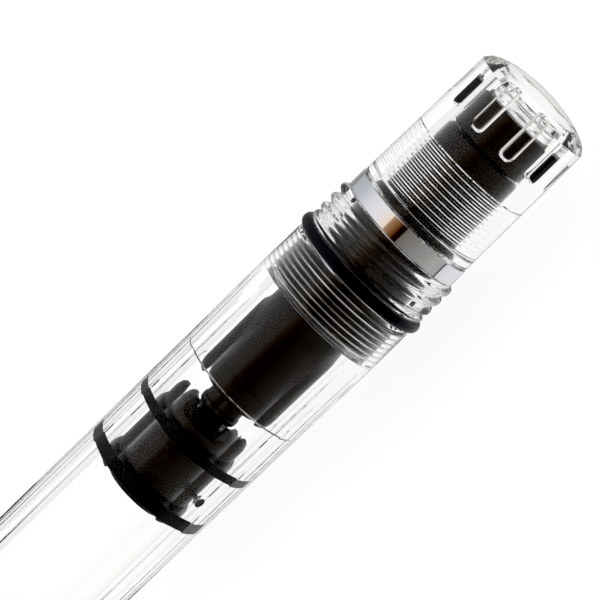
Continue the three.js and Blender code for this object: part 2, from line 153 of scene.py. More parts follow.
def zone_points(zone, phi):
    """Points of a thread zone where it crosses the half plane at angle phi."""
    x0, x1, pitch, datum, base = (zone[key] for key in ("x0", "x1", "pitch", "datum", "base"))
    lead = pitch * zone["starts"]
    form = FORMS[zone["form"]]
    keep = form[-1][0] * pitch if zone["margin"] is None else zone["margin"]
    first = int(math.floor((x0 - datum - lead) / pitch)) - 1
    last = int(math.ceil((x1 - datum) / pitch)) + 1
    points = [(x0, base)]
    for k in range(first, last + 1):
        middle = datum + k * pitch + lead * phi / TAU
        share = min(1.0, (middle - (x0 + keep)) / zone["fade"],
                    ((x1 - keep) - middle) / zone["fade"])
        share = max(0.0, share)
        share = share * share * (3 - 2 * share)
        for offset, height in form:
            x = min(max(middle + offset * pitch, x0), x1)
            points.append((x, base + zone["height"] * height * share))
    points.append((x1, base))
    return points[::-1] if zone["reverse"] else points


def section_at(profile, phi):
    """The whole profile as plain points at angle phi."""
    out = []
    for point in profile:
        if isinstance(point, dict):
            out.extend(zone_points(point, phi))
        else:
            out.append(point)
    return out


def ring_profile(x0, x1, inner, outer, inner_edge, outer_edge):
    """A rectangular section with its inner and outer corners rounded."""
    return [(x0, inner, inner_edge), (x0, outer, outer_edge),
            (x1, outer, outer_edge), (x1, inner, inner_edge)]


# ------------------------------------------------------------------ angles about X
# Angles run from +Y towards +Z.
def even(count):
    return [TAU * i / count for i in range(count + 1)]


def window_angles(centres, half, inside, base, gather=False):
    """An even ring of base angles, plus tight pairs at window edges and some inside each.

    gather crowds the inside angles towards the window's edges.
    """
    edge_gap = 0.0015
    angles = set(round(TAU * i / base, 6) for i in range(base))
    for c in centres:
        angles = {v for v in angles if abs(turn_from(c, v)) > half + 0.004}
        for edge in (-half - edge_gap, -half + edge_gap, half - edge_gap, half + edge_gap):
            angles.add(round((c + edge) % TAU, 6))
        for q in range(1, inside + 1):
            if gather:
                w = -math.cos(math.pi * q / (inside + 1))
            else:
                w = 2 * q / (inside + 1) - 1
            angles.add(round((c + half * w) % TAU, 6))
    angles = sorted(angles)
    if angles[0] > 1e-9:
        angles = [0.0] + angles
    return angles + [TAU]


def in_window(phi, centres, half):
    """Signed angle from the middle of the window that holds phi, or None."""
    for c in centres:
        d = turn_from(c, phi)
        if abs(d) < half:
            return d
    return None


# ------------------------------------------------------------------ meshes
def weld_faces(grid, closed):
    """Joins columns of points (mm) into welded vertices and faces."""
    columns, rows = len(grid), len(grid[0])
    points = np.array(grid, float).reshape(-1, 3)
    keys = np.round(points / WELD).astype(np.int64)
    _, first, index = np.unique(keys, axis=0, return_index=True, return_inverse=True)
    index = np.asarray(index).reshape(columns, rows)
    faces = []
    for j in range(columns - 1):
        here, there = index[j], index[j + 1]
        for i in range(rows if closed else rows - 1):
            following = (i + 1) % rows
            face = []
            for v in (here[i], here[following], there[following], there[i]):
                if int(v) not in face:
                    face.append(int(v))
            if len(face) >= 3:
                faces.append(face)
    return points[first], faces


def outward(verts, faces):
    """Turns the faces round if they enclose a negative volume."""
    volume = 0.0
    for face in faces:
        a = verts[face[0]]
        for i in range(1, len(face) - 1):
            volume += float(np.dot(a, np.cross(verts[face[i]], verts[face[i + 1]])))
    return [face[::-1] for face in faces] if volume < 0 else faces


def emit(name, verts, faces, material, node, sharp):
    """Makes the object and ties it to the CAD node it replaces."""
    mesh = bpy.data.meshes.new(name)
    mesh.from_pydata([tuple(p) for p in (verts * MM)], [], faces)
    mesh.validate()
    mesh.polygons.foreach_set("use_smooth", [True] * len(mesh.polygons))
    mesh.set_sharp_from_angle(angle=math.radians(sharp))
    ob = bpy.data.objects.new(name, mesh)
    scene.collection.objects.link(ob)
    mesh.materials.append(material)
    bodies = frame["record"]["behaviour"]["bodies"]
    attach(ob, next(body for body, nodes in bodies.items() if node in nodes))
    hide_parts(node)


def turned(name, profile, material, node, origin=0.0, angles=None, mod=None,
           sharp=30.0, extra=None):
    """Turns a profile about X; it closes on itself unless it starts on the axis.

    origin is where the profile's x = 0 lies. mod(x, r, phi) reshapes the turned points in
    pen stations. extra is a further (vertices, faces). sharp is in degrees.
    """
    profile = fillet([shifted(point, origin) for point in profile])
    grid = []
    for phi in angles or even(144):
        c, s = math.cos(phi), math.sin(phi)
        row = []
        for x, r in section_at(profile, phi):
            if mod:
                x, r = mod(x, r, phi)
            row.append((x, r * c, r * s))
        grid.append(row)
    closed = isinstance(profile[0], dict) or profile[0][1] > 1e-9
    verts, faces = weld_faces(grid, closed)
    faces = outward(verts, faces)
    if extra:
        faces = faces + [[v + len(verts) for v in face] for face in extra[1]]
        verts = np.vstack([verts, np.array(extra[0], float)])
    emit(name, verts, faces, material, node, sharp)


def oring(name, x, ring_r, cord_r, node, around=128, section=24):
    """A rubber ring of round cord."""
    profile = []
    for i in range(section):
        w = TAU * i / section
        profile.append((x + cord_r * math.cos(w), ring_r + cord_r * math.sin(w)))
    turned(name, profile, RUBBER, node, angles=even(around))


# ------------------------------------------------------------------ shader nodes
def emptied(owner):
    """Clears the node tree of a material or world and returns it."""
    owner.use_nodes = True
    owner.node_tree.nodes.clear()
    return owner.node_tree


def add(tree, kind, inputs=None, **settings):
    """Adds a shader node. An input is a value, a socket, or a node (its first output)."""
    made = tree.nodes.new("ShaderNode" + kind)
    for key, value in settings.items():
        setattr(made, key, value)
    for key, value in (inputs or {}).items():
        if isinstance(value, bpy.types.Node):
            value = value.outputs[0]
        if isinstance(value, bpy.types.NodeSocket):
            tree.links.new(value, made.inputs[key])
        else:
            made.inputs[key].default_value = value
    return made


def add_math(tree, operation, *values):
    return add(tree, "Math", dict(enumerate(values)), operation=operation)


def add_noise(tree, vector, scale, detail):
    return add(tree, "TexNoise", {"Vector": vector, "Scale": scale, "Detail": detail})


def add_ramp(tree, factor, stops):
    """A colour ramp; stops are (position, (red, green, blue))."""
    ramp = add(tree, "ValToRGB", {"Fac": factor})
    elements = ramp.color_ramp.elements
    while len(elements) > 1:
        elements.remove(elements[-1])
    elements[0].position = stops[0][0]
    elements[0].color = (*stops[0][1], 1)
    for position, color in stops[1:]:
        elements.new(position).color = (*color, 1)
    return ramp


def add_blend(tree, factor, first, second):
    """Mixes two colours and returns the output socket."""
    return add(tree, "Mix", {0: factor, 6: first, 7: second}, data_type="RGBA").outputs[2]


# ------------------------------------------------------------------ materials
def clear_plastic(name, ior=1.52, tint=(0.995, 0.993, 0.982), rough=0.008,
                  shadow=(0.965, 0.97, 0.975), mirror=0.35):
    """Refracting plastic with faint moulding ripple; lets most light through in shadow.

    mirror is the strength of the face-on reflection.
    """
    material = bpy.data.materials.new(name)
    tree = emptied(material)
    place = add(tree, "TexCoord").outputs["Object"]
    stretched = add(tree, "Mapping", {"Vector": place, "Scale": (60, 380, 380)})
    ripple = add_noise(tree, stretched, scale=1.0, detail=2.0)
    bump = add(tree, "Bump", {"Height": ripple, "Strength": 0.004, "Distance": 0.0002})
    glass = add(tree, "BsdfPrincipled", {
        "Base Color": (*tint, 1),
        "Roughness": rough,
        "IOR": ior,
        "Transmission Weight": 1.0,
        "Specular Tint": (mirror, mirror, mirror, 1),
        "Normal": bump,
    })
    in_shadow = add(tree, "LightPath").outputs["Is Shadow Ray"]
    see_through = add(tree, "BsdfTransparent", {"Color": (*shadow, 1)})
    mix = add(tree, "MixShader", {"Fac": in_shadow, 1: glass, 2: see_through})
    add(tree, "OutputMaterial", {"Surface": mix})
    return material


def moulded(name, color, rough, rough_var=0.05, bump=0.0, grain=2600.0, spec=0.5):
    """Opaque plastic or rubber with fine grain, and wide marks in tone and roughness."""
    material = bpy.data.materials.new(name)
    tree = emptied(material)
    place = add(tree, "TexCoord").outputs["Object"]
    fine = add_noise(tree, place, scale=grain, detail=4.0)
    wide = add_noise(tree, place, scale=260.0, detail=3.0)
    roughness = add(tree, "MapRange", {
        "Value": wide,
        "To Min": max(0.02, rough - rough_var),
        "To Max": rough + rough_var,
    })
    tone = add_ramp(tree, wide, [
        (0.3, [c * 0.8 for c in color]),
        (0.7, [min(1, c * 1.2) for c in color]),
    ])
    relief = add(tree, "Bump", {"Height": fine, "Strength": bump, "Distance": 0.00005})
    surface = add(tree, "BsdfPrincipled", {
        "Base Color": tone,
        "Roughness": roughness,
        "IOR": 1.5,
        "Specular IOR Level": spec,
        "Normal": relief,
    })
    add(tree, "OutputMaterial", {"Surface": surface})
    return material


def metal(name, color, rough, turning, scratch):
    """Metal with lathe lines round the axis, hairline scratches and varying polish.

    turning and scratch are the depths of the lines and of the scratches.
    """
    material = bpy.data.materials.new(name)
    tree = emptied(material)
    place = add(tree, "TexCoord").outputs["Object"]
    line_place = add(tree, "Mapping", {"Vector": place, "Scale": (9000.0, 40, 40)})
    lines = add_noise(tree, line_place, scale=1.0, detail=2.0)
    scratch_place = add(tree, "Mapping", {
        "Vector": place, "Scale": (300, 2400, 2400), "Rotation": (0.3, 0.9, 0.5)})
    scratches = add_noise(tree, scratch_place, scale=1.0, detail=6.0)
    roughness = add(tree, "MapRange", {
        "Value": scratches,
        "From Min": 0.35,
        "From Max": 0.75,
        "To Min": rough,
        "To Max": rough + scratch * 2,
    })
    scratch_height = add_math(tree, "MULTIPLY", scratches, scratch)
    height = add_math(tree, "MULTIPLY_ADD", lines, turning, scratch_height)
    relief = add(tree, "Bump", {"Height": height, "Strength": 0.25, "Distance": 0.00002})
    surface = add(tree, "BsdfPrincipled", {
        "Base Color": (*color, 1),
        "Metallic": 1.0,
        "Roughness": roughness,
        "Normal": relief,
    })
    add(tree, "OutputMaterial", {"Surface": surface})
    return material


CLEAR = clear_plastic("clear_plastic")
CLEAR_BARREL = clear_plastic("clear_barrel", mirror=0.03)
CLEAR_KNOB = clear_plastic("clear_knob", mirror=0.06)
CLEAR_SLEEVE = clear_plastic("clear_sleeve", rough=0.03, mirror=0.30)
BLACK = moulded("black_plastic", color=(0.0125, 0.0105, 0.0090), rough=0.22, spec=0.24)
BLACK_GLOSS = moulded("black_gloss_plastic", color=(0.0120, 0.0100, 0.0085), rough=0.15,
                      rough_var=0.04, spec=0.21)
FEED = moulded("feed_plastic", color=(0.014, 0.014, 0.014), rough=0.42, rough_var=0.08,
               bump=0.12)
RUBBER = moulded("seal_rubber", color=(0.0040, 0.0040, 0.0060), rough=0.24, grain=3400.0,
                 spec=0.07)
RUBBER_WET = moulded("wet_seal_rubber", color=(0.0035, 0.0035, 0.0040), rough=0.28,
                     grain=3400.0, spec=0.10)
SILICONE = clear_plastic("silicone_gasket", ior=1.41, tint=(0.93, 0.94, 0.94), rough=0.22,
                         shadow=(0.9, 0.9, 0.9))
NYLON = clear_plastic("nylon_washer", ior=1.50, tint=(0.95, 0.96, 0.96), rough=0.10,
                      shadow=(0.93, 0.93, 0.93))
CHROME = metal("chrome_plate", color=(0.80, 0.80, 0.81), rough=0.03, turning=0.01,
               scratch=0.01)
STEEL = metal("polished_steel", color=(0.66, 0.66, 0.66), rough=0.12, turning=0.0,
              scratch=0.05)

# ------------------------------------------------------------------ barrel
FACETS = 13
FACET_TURN = TAU / FACETS
FLAT_R = 6.068                       # axis to the middle of a flat
FLAT_MID = math.radians(13.09)       # middle of one flat
FLATS_FRONT = 54.0                   # the flats run out in front of this station
FLATS_REAR = SEAT - 13.0             # and behind this one
# columns on each side of the middle of a flat, degrees
FLAT_COLUMNS = (1.4, 4.0, 6.2, 8.4, 10.6, 12.6, 13.55)


def flat_at(x):
    """Distance of the flats from the axis, growing towards both ends."""
    front = min(1.0, max(0.0, (FLATS_FRONT - x) / 4))
    rear = min(1.0, max(0.0, (x - FLATS_REAR) / 8))
    return FLAT_R + 0.42 * front * front + 0.2 * rear * rear


def facet_mod(x, r, phi):
    flat = flat_at(x)
    if r <= flat:
        return x, r
    half = FACET_TURN / 2
    local = (phi - FLAT_MID + half) % FACET_TURN - half   # 0 on the middle of a flat
    edge = flat / math.cos(half) - 0.010                  # slightly broken edge
    return x, min(r, flat / math.cos(local), edge)


def facet_angles():
    angles = set()
    for k in range(FACETS):
        middle = FLAT_MID + TAU * k / FACETS
        for degrees in FLAT_COLUMNS:
            for side in (-degrees, degrees):
                angles.add(round((middle + math.radians(side)) % TAU, 6))
    return [0.0] + [a for a in sorted(angles) if a > 1e-4] + [TAU]


turned("barrel_clear", [
    (BARREL_FRONT, 4.80, 0.05), (BARREL_FRONT, 5.55, 0.1), (40.25, CAP_ROOT, 0.1),
    thread(CAP_THREAD, 40.5, 44.7, datum=BARREL_FRONT, base=CAP_ROOT,
           height=CAP_CREST - CAP_ROOT, form="round"),
    (45.85, CAP_ROOT, 0.12), (46.0, 6.12, 0.1), (46.2, 6.30, 0.2),
    # outside, cut down to the flats
    (48.6, 6.34), (50.0, 6.32), (50.6, 6.30), (51.2, 6.28), (51.8, 6.26), (52.4, 6.26),
    (53.0, 6.25), (53.6, 6.25), (FLATS_FRONT, 6.25),
    *[(FLATS_REAR + 0.5 * q, 6.25) for q in range(17)],
    (SEAT - 0.9, 6.22, 0.3), (SEAT - 0.58, 6.0, 0.06), (SEAT - 0.58, 5.56, 0.04),
    # inside, from the rear end back to the front
    (SEAT - 0.70, 5.48),
    thread(TAIL_THREAD, SEAT - 4.8, SEAT - 0.72, datum=SEAT, base=5.48, height=0.20,
           form="notch", reverse=True),
    (SEAT - 4.85, 5.48), (SEAT - 4.92, 5.48, 0.04), (SEAT - 5.0, 4.55, 0.08),
    (SEAT - 13.88, 4.55, 0.06), (SEAT - 14.0, BORE_R, 0.05), (46.0, BORE_R, 0.1),
    (46.0, 5.0, 0.04), (45.0, 5.0, 0.04), (45.0, 4.75, 0.03),
    thread(BODY_THREAD, 40.9, 44.3, datum=BARREL_FRONT, base=4.75, height=0.30,
           form="groove", reverse=True),
], CLEAR_BARREL, "barrel", angles=facet_angles(), mod=facet_mod, sharp=24)

# ------------------------------------------------------------------ grip section
turned("grip_section_clear", [
    (25.5, 3.32, 0.1), (25.5, 4.6, 0.3), (25.8, 4.93, 0.3), (26.4, 5.02, 0.4),
    (28.0, 4.86, 1.5), (31.0, 4.72, 3.0), (35.5, 5.12, 3.0), (38.9, 5.64, 0.1),
    (39.25, 5.6, 0.1), (39.25, 4.68, 0.05),
    thread(BODY_THREAD, 40.6, 44.3, datum=BARREL_FRONT, base=4.68, height=0.28),
    (44.75, 4.68, 0.1), (44.9, 4.4, 0.08), (44.9, 2.32, 0.08), (41.5, 2.32, 0.05),
    (41.5, 3.32, 0.05),
], CLEAR, "grip_section")
turned("grip_ring_chrome", ring_profile(39.31, 39.93, inner=4.8, outer=5.66,
                                        inner_edge=0.04, outer_edge=0.12),
       CHROME, "grip_ring")
oring("grip_oring_rubber", x=45.45, ring_r=4.55, cord_r=0.36, node="grip_oring")
turned("nib_collar_black", [
    (26.0, 2.8, 0.05), (26.0, 3.12, 0.1), (26.2, 3.2, 0.1), (41.3, 3.15, 0.05),
    (41.3, 1.92, 0.05), (38.6, 1.92, 0.05), (38.6, 2.8, 0.05),
], BLACK, "nib_collar")

# ------------------------------------------------------------------ filler end
turned("tail_sleeve_clear", [
    (-0.45, 4.42, 0.05), (-0.45, 5.44, 0.08), (0.6, 5.44, 0.08), (0.58, 5.9, 0.08),
    (0.62, 6.12, 0.08), (0.76, 6.22, 0.12), (0.98, 6.16, 0.14), (1.18, CAP_ROOT, 0.1),
    thread(CAP_THREAD, 1.25, 4.46, datum=0.3, base=CAP_ROOT,
           height=CAP_CREST - CAP_ROOT, form="wave", margin=0.36),
    (4.47, CAP_ROOT), (4.47, 4.46, 0.05), (4.42, 4.42),
], CLEAR_SLEEVE, "tail_sleeve", origin=SEAT, angles=even(192))
oring("posting_oring_rubber", x=SEAT + 0.02, ring_r=6.04, cord_r=0.53,
      node="posting_oring", around=160, section=32)
turned("spigot_gasket_milky", ring_profile(-4.85, -4.25, inner=3.87, outer=5.1,
                                           inner_edge=0.1, outer_edge=0.1),
       SILICONE, "spigot_gasket", origin=SEAT)
turned("trim_ring_chrome", ring_profile(4.55, 6.2, inner=4.46, outer=5.80,
                                        inner_edge=0.05, outer_edge=0.13),
       CHROME, "trim_ring", origin=SEAT, angles=even(192))
turned("drive_housing_black", [
    (-12.6, 2.8, 0.05), (-12.6, 3.75, 0.03), (-4.2, 3.75, 0.1), (-4.2, 5.25, 0.1),
    (-4.08, 5.42, 0.05),
    thread(TAIL_THREAD, -4.05, -0.6, datum=0, base=5.42, height=0.16, form="fine"),
    (-0.5, 5.42, 0.05), (-0.5, 4.36, 0.1), (6.65, 4.36, 0.3), (6.95, 3.95, 0.1),
    (7.05, 3.82, 0.1),
    thread(KNOB_THREAD, 7.1, 12.3, datum=0, base=3.82, height=0.16, form="fine"),
    (14.0, 3.82, 0.15), (14.2, 3.55, 0.1), (14.2, 2.8, 0.05),
], BLACK_GLOSS, "drive_housing", origin=SEAT, angles=even(192))


def between_flats(r, half, phi):
    """Limits r to two flats at z = half and z = -half."""
    return min(r, half / (abs(math.sin(phi)) + 1e-9))


def bush_mod(x, r, phi):
    return x, between_flats(r, 1.42, phi) if r < 2.08 else r


# bush: rounded black nose with a flat-sided keyway for the rod
turned("guide_bush_black", [
    (-14.7, 2.06), (-14.7, 3.0, 0.3), (-14.5, 3.5, 0.35), (-13.95, 3.75, 0.45),
    (-12.62, 3.75, 0.02), (-12.62, 2.7, 0.05), (-11.9, 2.7, 0.05), (-11.9, 2.06),
], BLACK_GLOSS, "guide_bush", origin=SEAT, angles=even(180), mod=bush_mod)

# ------------------------------------------------------------------ knob and spindle
KEY_COUNT = 8
KEYS = [(TAU * i / KEY_COUNT + math.pi / 8 + math.pi / 2) % TAU for i in range(KEY_COUNT)]
KNOB_BORE_R = 3.8
KEY_H = 0.52                     # height of a key over the bore
KEY_W = 0.60                     # half width of its half-round section and of its ball nose
KEY_HALF = KEY_W / KNOB_BORE_R   # the same as an angle
KEY_FRONT = 15.15                # tip of the ball nose, behind the seat
# angles along the ball nose, degrees, from its rear to its tip
NOSE_STEPS = (90, 75, 60, 47, 35, 24, 14, 6, 0)

SPINDLE_R = 3.65
SLOT_W = 0.66                    # half width of a spindle slot
SLOT_HALF = SLOT_W / SPINDLE_R
SLOT_FRONT = SEAT + 15.0
SLOT_FLOOR_R = 3.14


def knob_mod(x, r, phi):
    """Raises the keys from the bore."""
    if 3.0 < r <= KNOB_BORE_R + 0.005 and SEAT + KEY_FRONT - 0.01 < x < SEAT + 19.25:
        d = in_window(phi, KEYS, KEY_HALF)
        if d is not None:
            across = d * KNOB_BORE_R
            along = max(0.0, SEAT + KEY_FRONT + KEY_W - x)
            share = 1 - (across * across + along * along) / KEY_W ** 2
            return x, r - KEY_H * math.sqrt(max(0.0, share))
    return x, r


def spindle_mod(x, r, phi):
    """Cuts round-ended slots for the keys, open to the rear."""
    if r > 3.2 and x > SEAT + 14.9:
        d = in_window(phi, KEYS, SLOT_HALF)
        if d is not None:
            across = d / SLOT_HALF * SLOT_W
            wall = SLOT_FRONT + (SLOT_W - math.sqrt(max(0.0, SLOT_W ** 2 - across * across)))
            if x <= SLOT_FRONT + 0.01:
                return wall, r
            if x <= SLOT_FRONT + 0.06:
                return wall + 0.03, SLOT_FLOOR_R
            return x, SLOT_FLOOR_R
    return x, r


# knob: thick clear shell with a fine internal thread and eight round-nosed keys
turned("knob_shell_clear", [
    (6.28, 4.62, 0.06), (6.28, 5.60, 0.12), (6.42, 5.74, 0.1), (19.35, 5.58, 0.12),
    (19.85, 5.18, 0.12), (20.22, 4.55, 1.2), (20.62, 3.35, 2.0), (20.90, 1.75, 2.5),
    (21.0, 0.0), (19.2, 0.0), (19.2, 3.15), (19.2, KNOB_BORE_R), (18.0, KNOB_BORE_R),
    *[(KEY_FRONT + KEY_W * (1 - math.cos(math.radians(w))), KNOB_BORE_R)
      for w in NOSE_STEPS],
    (14.9, 3.81), (12.6, 3.92),
    thread(KNOB_THREAD, 7.2, 12.55, datum=0, base=3.92, height=0.21, form="trapeze",
           reverse=True),
    (7.15, 3.92, 0.03), (7.05, 4.5, 0.1), (6.45, 4.5, 0.1),
], CLEAR_KNOB, "knob_shell", origin=SEAT, mod=knob_mod,
    angles=window_angles(KEYS, KEY_HALF, inside=15, base=120, gather=True))
turned("spindle_black", [
    (-11.6, 2.0, 0.05), (-11.6, 2.55, 0.1), (14.4, 2.66, 0.05), (14.4, 3.5),
    (14.52, SPINDLE_R), (15.0, SPINDLE_R), (15.05, SPINDLE_R), (17.75, SPINDLE_R),
    (17.9, 3.5), (17.9, 0.9, 0.05), (16.9, 0.9, 0.05), (16.9, 2.12, 0.05),
    (-6.8, 2.12, 0.05),
], BLACK_GLOSS, "spindle", origin=SEAT, mod=spindle_mod,
    angles=window_angles(KEYS, SLOT_HALF, inside=9, base=144))
turned("thrust_washer_nylon", ring_profile(18.02, 18.9, inner=1.1, outer=3.05,
                                           inner_edge=0.1, outer_edge=0.1),
       NYLON, "thrust_washer", origin=SEAT)


# ------------------------------------------------------------------ piston
def rod_mod(x, r, phi):
    return x, between_flats(r, 1.36, phi) if x > SEAT - 14.8 and r > 0.5 else r


turned("piston_rod_black", [
    (-18.4, 0.0), (-18.4, 1.5, 0.2), (-18.1, 1.75, 0.2), (-17.55, 1.75, 0.1),
    (-17.4, 1.15, 0.1), (-16.65, 1.15, 0.1), (-16.55, 2.0, 0.1), (-16.3, 2.12, 0.2),
    (-15.95, 2.1, 0.1), (-15.8, 1.92, 0.1), (-14.85, 1.9, 0.05), (-14.78, 1.5, 0.02),
    thread(ROD_THREAD, -14.7, 12.0, datum=0, base=1.5, height=0.45, form="rib", fade=0.3),
    (12.3, 1.45, 0.2), (12.5, 1.0, 0.1), (12.5, 0.0),
], BLACK, "piston_rod", origin=SEAT, mod=rod_mod)

# three wide notches in the rear rim of the head
NOTCHES = [math.radians((139.5 + 120 * i) % 360) for i in range(3)]
NOTCH_HALF = math.radians(38)
NOTCH_FLOOR = SEAT - 17.85


def head_mod(x, r, phi):
    """Pulls the rim forward to the notch floor."""
    if x > NOTCH_FLOOR and r > 2.0:
        d = in_window(phi, NOTCHES, NOTCH_HALF)
        if d is not None:
            depth = 1 - (abs(d) / NOTCH_HALF) ** 4
            return x - (x - NOTCH_FLOOR) * min(1.0, 0.05 + depth * 1.2), r
    return x, r


def pip(x_mid, angle, radius, foot, tip):
    """A short round pip on a cylinder, from radius foot out to radius tip."""
    # (distance from the pen's axis, share of the pip's radius)
    rings = ((foot, 0.42), (tip - 0.34, 0.40), (tip - 0.22, 0.92), (tip - 0.06, 1.0),
             (tip, 0.92), (tip, 0.5))
    sides = 24
    c, s = math.cos(angle), math.sin(angle)
    verts, faces = [], []
    for reach, share in rings:
        for i in range(sides):
            w = TAU * i / sides
            along, across = radius * share * math.cos(w), radius * share * math.sin(w)
            height = math.sqrt(reach * reach - across * across)
            verts.append((x_mid + along, height * c - across * s, height * s + across * c))
    for q in range(len(rings) - 1):
        for i in range(sides):
            a, b = q * sides + i, q * sides + (i + 1) % sides
            faces.append([a, b, b + sides, a + sides])
    faces.append([(len(rings) - 1) * sides + i for i in range(sides)])
    faces.append(list(range(sides))[::-1])
    return verts, outward(np.array(verts), faces)


turned("piston_head_black", [
    (-26.1, 0.0), (-26.08, 1.6, 2.0), (-26.02, 3.2, 0.2), (-25.88, 3.6, 0.15),
    (-25.55, 3.6, 0.03), (-25.55, 3.1, 0.03), (-24.05, 3.1, 0.03), (-24.05, 3.72, 0.12),
    (-19.86, 3.72, 0.12), (-19.86, 3.2, 0.03), (-18.74, 3.2, 0.03), (-18.74, 3.72, 0.12),
    (-17.2, 3.72, 0.5), (-16.66, 3.4, 0.3), (-16.42, 2.9, 0.2), (-16.46, 2.4, 0.15),
    (-17.3, 2.05, 0.1), (-19.4, 2.05, 0.1), (-19.4, 0.0),
], BLACK, "piston_head", origin=SEAT, mod=head_mod,
    angles=window_angles(NOTCHES, NOTCH_HALF, inside=11, base=120),
    extra=pip(x_mid=SEAT - 22.33, angle=math.radians(199), radius=0.50, foot=3.5,
              tip=SEAL_R))


def lip_seal(name, x0, x1, node):
    """Seal pressed against the bore, so that it wets the clear wall."""
    turned(name, [
        (x0, 3.2, 0.04), (x0, 4.30, 0.06), (x0 + 0.12, SEAL_R, 0.05),
        (x1 - 0.12, SEAL_R, 0.05), (x1, 4.30, 0.06), (x1, 3.2, 0.04),
    ], RUBBER_WET, node, angles=even(180))


lip_seal("piston_seal_front_rubber", SEAT - 25.5, SEAT - 24.12, "piston_seal_front")
lip_seal("piston_seal_rear_rubber", SEAT - 19.86, SEAT - 18.78, "piston_seal_rear")

# ------------------------------------------------------------------ cap
turned("cap_shell_clear", [
    (48.0, 6.56, 0.1), (44.95, 6.56, 0.1), (44.8, 5.92, 0.05),
    thread(CAP_THREAD, 39.9, 44.7, datum=BARREL_FRONT, base=5.92, height=0.42,
           form="slot", reverse=True),
    (39.7, 5.98, 0.05), (6.3, 5.4, 0.2), (6.3, 2.46, 0.05), (5.2, 2.46, 0.05),
    (5.2, 5.0, 0.2), (5.6, 5.75, 0.6), (6.6, 6.0, 0.6), (43.7, 7.12, 0.1),
    (43.7, 6.88, 0.05), (48.0, 6.88, 0.1),
], CLEAR, "cap_shell", angles=even(160))
turned("cap_band_chrome", [
    (43.78, 6.93, 0.04), (43.78, 7.18, 0.1), (43.95, 7.3, 0.12), (45.55, 7.3, 0.08),
    (45.7, 7.18, 0.05), (45.95, 7.18, 0.05), (46.1, 7.3, 0.08), (47.85, 7.3, 0.12),
    (47.98, 7.18, 0.08), (47.98, 6.93, 0.04),
], CHROME, "cap_band", angles=even(192))
turned("cap_liner_clear", [
    (6.36, 0.0), (6.36, 5.1, 0.2), (6.7, 5.28, 0.2), (26.2, 5.6, 0.2), (26.6, 5.45, 0.1),
    (26.6, 5.22, 0.05), (24.3, 5.2, 0.05), (24.3, 4.6, 0.1), (7.4, 4.35, 0.5),
    (7.0, 3.9, 0.4), (7.0, 0.0),
], CLEAR, "cap_liner")
turned("liner_seal_rubber", [
    (24.36, 4.02, 0.1), (24.36, 5.1, 0.1), (25.2, 5.1, 0.25), (25.2, 4.02, 0.25),
], RUBBER, "liner_seal")
turned("crown_finial_chrome", [
    (0.3, 3.1, 0.05), (0.3, 4.2, 0.2), (0.6, 4.6, 0.3), (2.9, 5.1, 0.15), (3.2, 5.0, 0.1),
    (3.2, 2.3, 0.05), (6.28, 2.3, 0.1), (6.28, 0.05), (1.1, 0.05), (1.1, 3.1, 0.03),
], CHROME, "crown_finial", angles=even(160))
turned("crown_jewel_black", [
    (1.04, 0.0), (1.04, 3.02, 0.05), (0.2, 3.02, 0.12), (0.0, 2.75, 0.15), (0.0, 0.0),
], BLACK_GLOSS, "crown_jewel")
oring("crown_oring_rubber", x=4.72, ring_r=3.6, cord_r=0.36, node="crown_oring")

# ------------------------------------------------------------------ CAD pieces kept as they are
for kept, material in (("nib", STEEL), ("nib_tipping", STEEL), ("feed", FEED),
                       ("clip_collar", CHROME), ("clip_arm", CHROME)):
    slots = frame["nodes"][kept].data.materials
    slots.clear()
    slots.append(material)

# ------------------------------------------------------------------ studio
CAMERA_RISE = math.radians(40.5)     # camera height angle about the pen, from -Y
CAMERA_SWING = math.radians(11.0)    # camera swing towards the knob
TO_CAMERA = Vector((
    math.sin(CAMERA_SWING),
    -math.cos(CAMERA_SWING) * math.cos(CAMERA_RISE),
    math.cos(CAMERA_SWING) * math.sin(CAMERA_RISE),
))
FLOOR_SIZE = 6.0                     # metres
FLOOR_Z = -7.4 * MM

# Painted reflection colours of the floor, seen only in the pen's reflections:
# (sine of the angle the floor is seen at, colour): far floor, near floor,
# a painted dark shade line under the pen, far side
FLOOR_REFLECTION_PAINT_STOPS = [
    (0.0, (0.31, 0.30, 0.285)), (0.30, (0.37, 0.36, 0.34)), (0.55, (0.46, 0.45, 0.43)),
    (0.775, (0.44, 0.43, 0.42)), (0.785, (0.05, 0.05, 0.05)), (0.81, (0.06, 0.06, 0.06)),
    (0.82, (0.78, 0.79, 0.82)), (1.0, (0.86, 0.87, 0.90)),
]
# (degrees about the pen's axis, colour), from the horizon on the camera's side (0)
# over the top (90) to the far horizon (180)
TENT_STOPS = [
    (0.0, (0.31, 0.30, 0.285)), (16.0, (0.255, 0.245, 0.23)), (30.0, (0.205, 0.19, 0.17)),
    (37.5, (0.175, 0.155, 0.125)), (39.0, (0.012, 0.006, 0.003)),
    (47.0, (0.020, 0.008, 0.003)), (50.0, (0.14, 0.05, 0.015)),
    (59.0, (0.30, 0.16, 0.075)), (66.0, (0.42, 0.27, 0.16)), (69.0, (1.00, 0.84, 0.68)),
    (78.0, (0.96, 0.89, 0.82)), (92.0, (0.92, 0.91, 0.92)), (112.0, (0.84, 0.855, 0.89)),
    (128.0, (0.72, 0.735, 0.78)), (146.0, (0.58, 0.595, 0.645)),
    (180.0, (0.50, 0.515, 0.56)),
]


